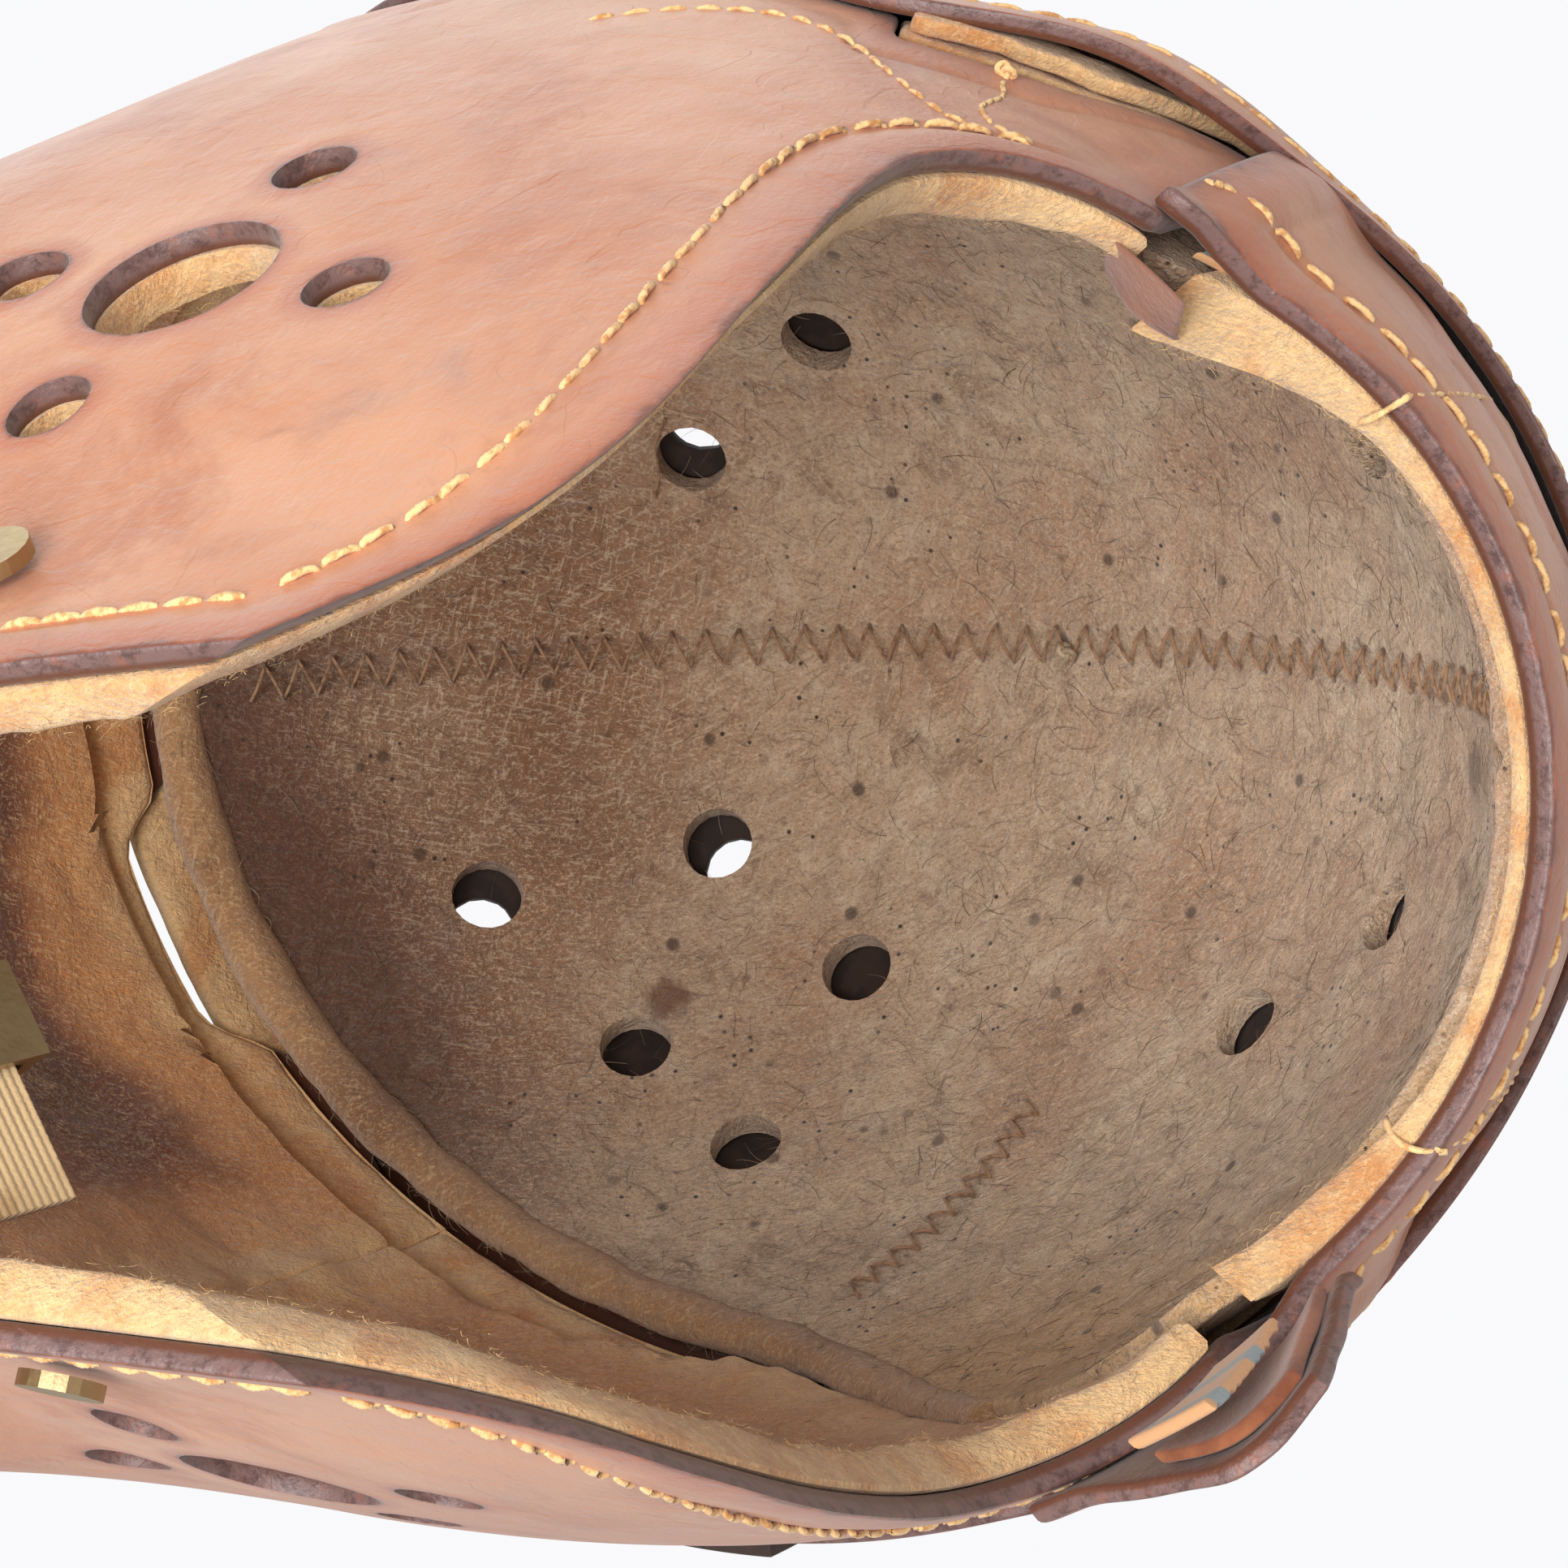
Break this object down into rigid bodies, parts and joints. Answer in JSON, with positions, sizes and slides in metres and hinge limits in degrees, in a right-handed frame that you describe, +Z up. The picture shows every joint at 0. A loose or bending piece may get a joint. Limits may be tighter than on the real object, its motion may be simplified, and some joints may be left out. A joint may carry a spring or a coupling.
{
  "type": "american football helmet",
  "caption": "Early leather football helmet: felt-lined crown with straps, brow and side bands, hinged ear flaps with ear holes, neck guard and a chin strap.",
  "frame": {"origin": "centre of the box under the helmet, on the surface its flaps and neck guard stand on", "axes": "+Z up through the crown, -Y the way the face opening looks, +X the wearer's left"},
  "size_m": [0.1846, 0.2211, 0.2471],
  "materials": {
    "tan_leather": "satin",
    "dark_leather": "satin",
    "hair_felt": "matte",
    "gold_felt": "matte",
    "fibre_board": "matte",
    "elastic": "matte",
    "cotton_webbing": "matte",
    "metal": "worn"
  },
  "bodies": {
    "shell": {"crown_shell": "tan_leather", "crown_fibre_shell": "fibre_board", "crown_liner_left": "hair_felt", "crown_liner_right": "hair_felt", "ridge_strap": "dark_leather", "cross_strap_left": "dark_leather", "cross_strap_right": "dark_leather", "brow_band": "tan_leather", "brow_lining": "gold_felt", "left_side_band": "tan_leather", "left_side_lining": "gold_felt", "right_side_band": "tan_leather", "right_side_lining": "gold_felt", "rear_band": "tan_leather", "rear_lining": "gold_felt", "left_temple_elastic": "elastic", "right_temple_elastic": "elastic", "left_temple_keeper": "tan_leather", "right_temple_keeper": "tan_leather"},
    "left_flap": {"left_ear_flap": "tan_leather", "left_ear_lining": "gold_felt", "left_strap_rivet": "metal", "strap_anchor": "cotton_webbing"},
    "right_flap": {"right_ear_flap": "tan_leather", "right_ear_lining": "gold_felt", "right_strap_rivet": "metal"},
    "neck": {"neck_guard": "tan_leather", "neck_lining": "gold_felt"},
    "chin_strap": {"chin_strap_webbing": "cotton_webbing", "strap_tip": "dark_leather"},
    "slide": {"strap_slide": "metal"}
  },
  "joints": [
    {"name": "left_flap_hinge", "type": "hinge", "parent": "shell", "child": "left_flap", "pos_m": [0.0815, 0, 0.09665], "axis": [0, -0.922, 0.3872], "range_deg": [0, 35]},
    {"name": "right_flap_hinge", "type": "hinge", "parent": "shell", "child": "right_flap", "pos_m": [-0.0815, 0, 0.09665], "axis": [0, 0.922, -0.3872], "range_deg": [0, 35]},
    {"name": "neck_guard_hinge", "type": "hinge", "parent": "shell", "child": "neck", "pos_m": [0, 0.1005, 0.078], "axis": [1, 0, 0], "range_deg": [0, 40]},
    {"name": "chin_strap_swing", "type": "hinge", "parent": "left_flap", "child": "chin_strap", "pos_m": [0.0236, -0.03, 0.022], "axis": [0, 0, 1], "range_deg": [-10, 85]},
    {"name": "strap_slide_travel", "type": "slide", "parent": "chin_strap", "child": "slide", "axis": [0.866, -0.5, 0], "range_m": [-0.012, 0.01]}
  ]
}
